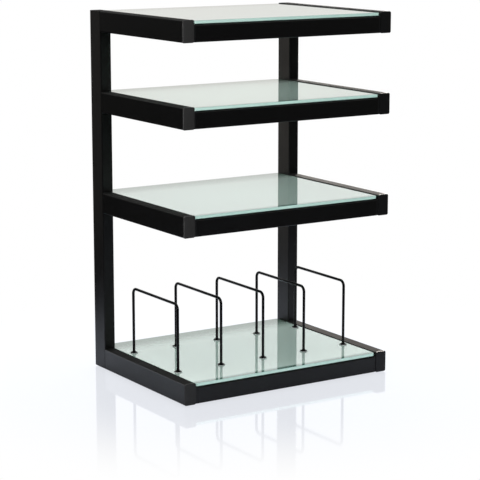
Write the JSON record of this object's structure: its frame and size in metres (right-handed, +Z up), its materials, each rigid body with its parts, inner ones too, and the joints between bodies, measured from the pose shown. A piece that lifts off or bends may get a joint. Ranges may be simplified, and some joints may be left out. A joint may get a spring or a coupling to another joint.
{
  "type": "audio equipment rack",
  "caption": "Open steel rack with cantilevered side arms, loose glass shelves and wire dividers for records on the bottom shelf.",
  "frame": {"origin": "on the floor under the middle of the rack", "axes": "+X to the right of someone facing the front, +Y to the rear, +Z up"},
  "size_m": [0.6014, 0.455, 0.9208],
  "materials": {
    "satin_black_steel": "satin black powder coat",
    "moulded_plastic": "fine-grained moulded dark grey",
    "satin_glass": "polished top and edges, satin underside, pale green",
    "coated_wire": "semi-gloss black coating"
  },
  "bodies": {
    "frame": {"left_post": "satin_black_steel", "left_post_foot": "moulded_plastic", "left_rear_glide": "moulded_plastic", "left_front_glide": "moulded_plastic", "left_top_arm": "satin_black_steel", "left_top_arm_cap": "moulded_plastic", "left_upper_arm": "satin_black_steel", "left_upper_arm_cap": "moulded_plastic", "left_middle_arm": "satin_black_steel", "left_middle_arm_cap": "moulded_plastic", "left_bottom_arm": "satin_black_steel", "left_bottom_arm_cap": "moulded_plastic", "right_post": "satin_black_steel", "right_post_foot": "moulded_plastic", "right_rear_glide": "moulded_plastic", "right_front_glide": "moulded_plastic", "right_top_arm": "satin_black_steel", "right_top_arm_cap": "moulded_plastic", "right_upper_arm": "satin_black_steel", "right_upper_arm_cap": "moulded_plastic", "right_middle_arm": "satin_black_steel", "right_middle_arm_cap": "moulded_plastic", "right_bottom_arm": "satin_black_steel", "right_bottom_arm_cap": "moulded_plastic", "front_top_rail": "satin_black_steel", "front_top_rail_left_plug": "moulded_plastic", "front_top_rail_right_plug": "moulded_plastic", "front_upper_rail": "satin_black_steel", "front_upper_rail_left_plug": "moulded_plastic", "front_upper_rail_right_plug": "moulded_plastic", "front_middle_rail": "satin_black_steel", "front_middle_rail_left_plug": "moulded_plastic", "front_middle_rail_right_plug": "moulded_plastic", "front_bottom_rail": "satin_black_steel", "front_bottom_rail_left_plug": "moulded_plastic", "front_bottom_rail_right_plug": "moulded_plastic", "rear_top_rail": "satin_black_steel", "rear_top_rail_left_plug": "moulded_plastic", "rear_top_rail_right_plug": "moulded_plastic", "rear_upper_rail": "satin_black_steel", "rear_upper_rail_left_plug": "moulded_plastic", "rear_upper_rail_right_plug": "moulded_plastic", "rear_middle_rail": "satin_black_steel", "rear_middle_rail_left_plug": "moulded_plastic", "rear_middle_rail_right_plug": "moulded_plastic", "rear_bottom_rail": "satin_black_steel", "rear_bottom_rail_left_plug": "moulded_plastic", "rear_bottom_rail_right_plug": "moulded_plastic"},
    "top_shelf": {"top_glass_shelf": "satin_glass"},
    "upper_shelf": {"upper_glass_shelf": "satin_glass"},
    "middle_shelf": {"middle_glass_shelf": "satin_glass"},
    "bottom_shelf": {"bottom_glass_shelf": "satin_glass", "record_divider_1": "coated_wire", "record_divider_2": "coated_wire", "record_divider_3": "coated_wire", "record_divider_4": "coated_wire", "record_divider_5": "coated_wire"}
  },
  "joints": [
    {"name": "top_shelf_lift", "type": "slide", "parent": "frame", "child": "top_shelf", "axis": [0, 0, 1], "range_m": [0, 0.1]},
    {"name": "upper_shelf_lift", "type": "slide", "parent": "frame", "child": "upper_shelf", "axis": [0, 0, 1], "range_m": [0, 0.149]},
    {"name": "middle_shelf_lift", "type": "slide", "parent": "frame", "child": "middle_shelf", "axis": [0, 0, 1], "range_m": [0, 0.203]},
    {"name": "bottom_shelf_lift", "type": "slide", "parent": "frame", "child": "bottom_shelf", "axis": [0, 0, 1], "range_m": [0, 0.224]}
  ]
}
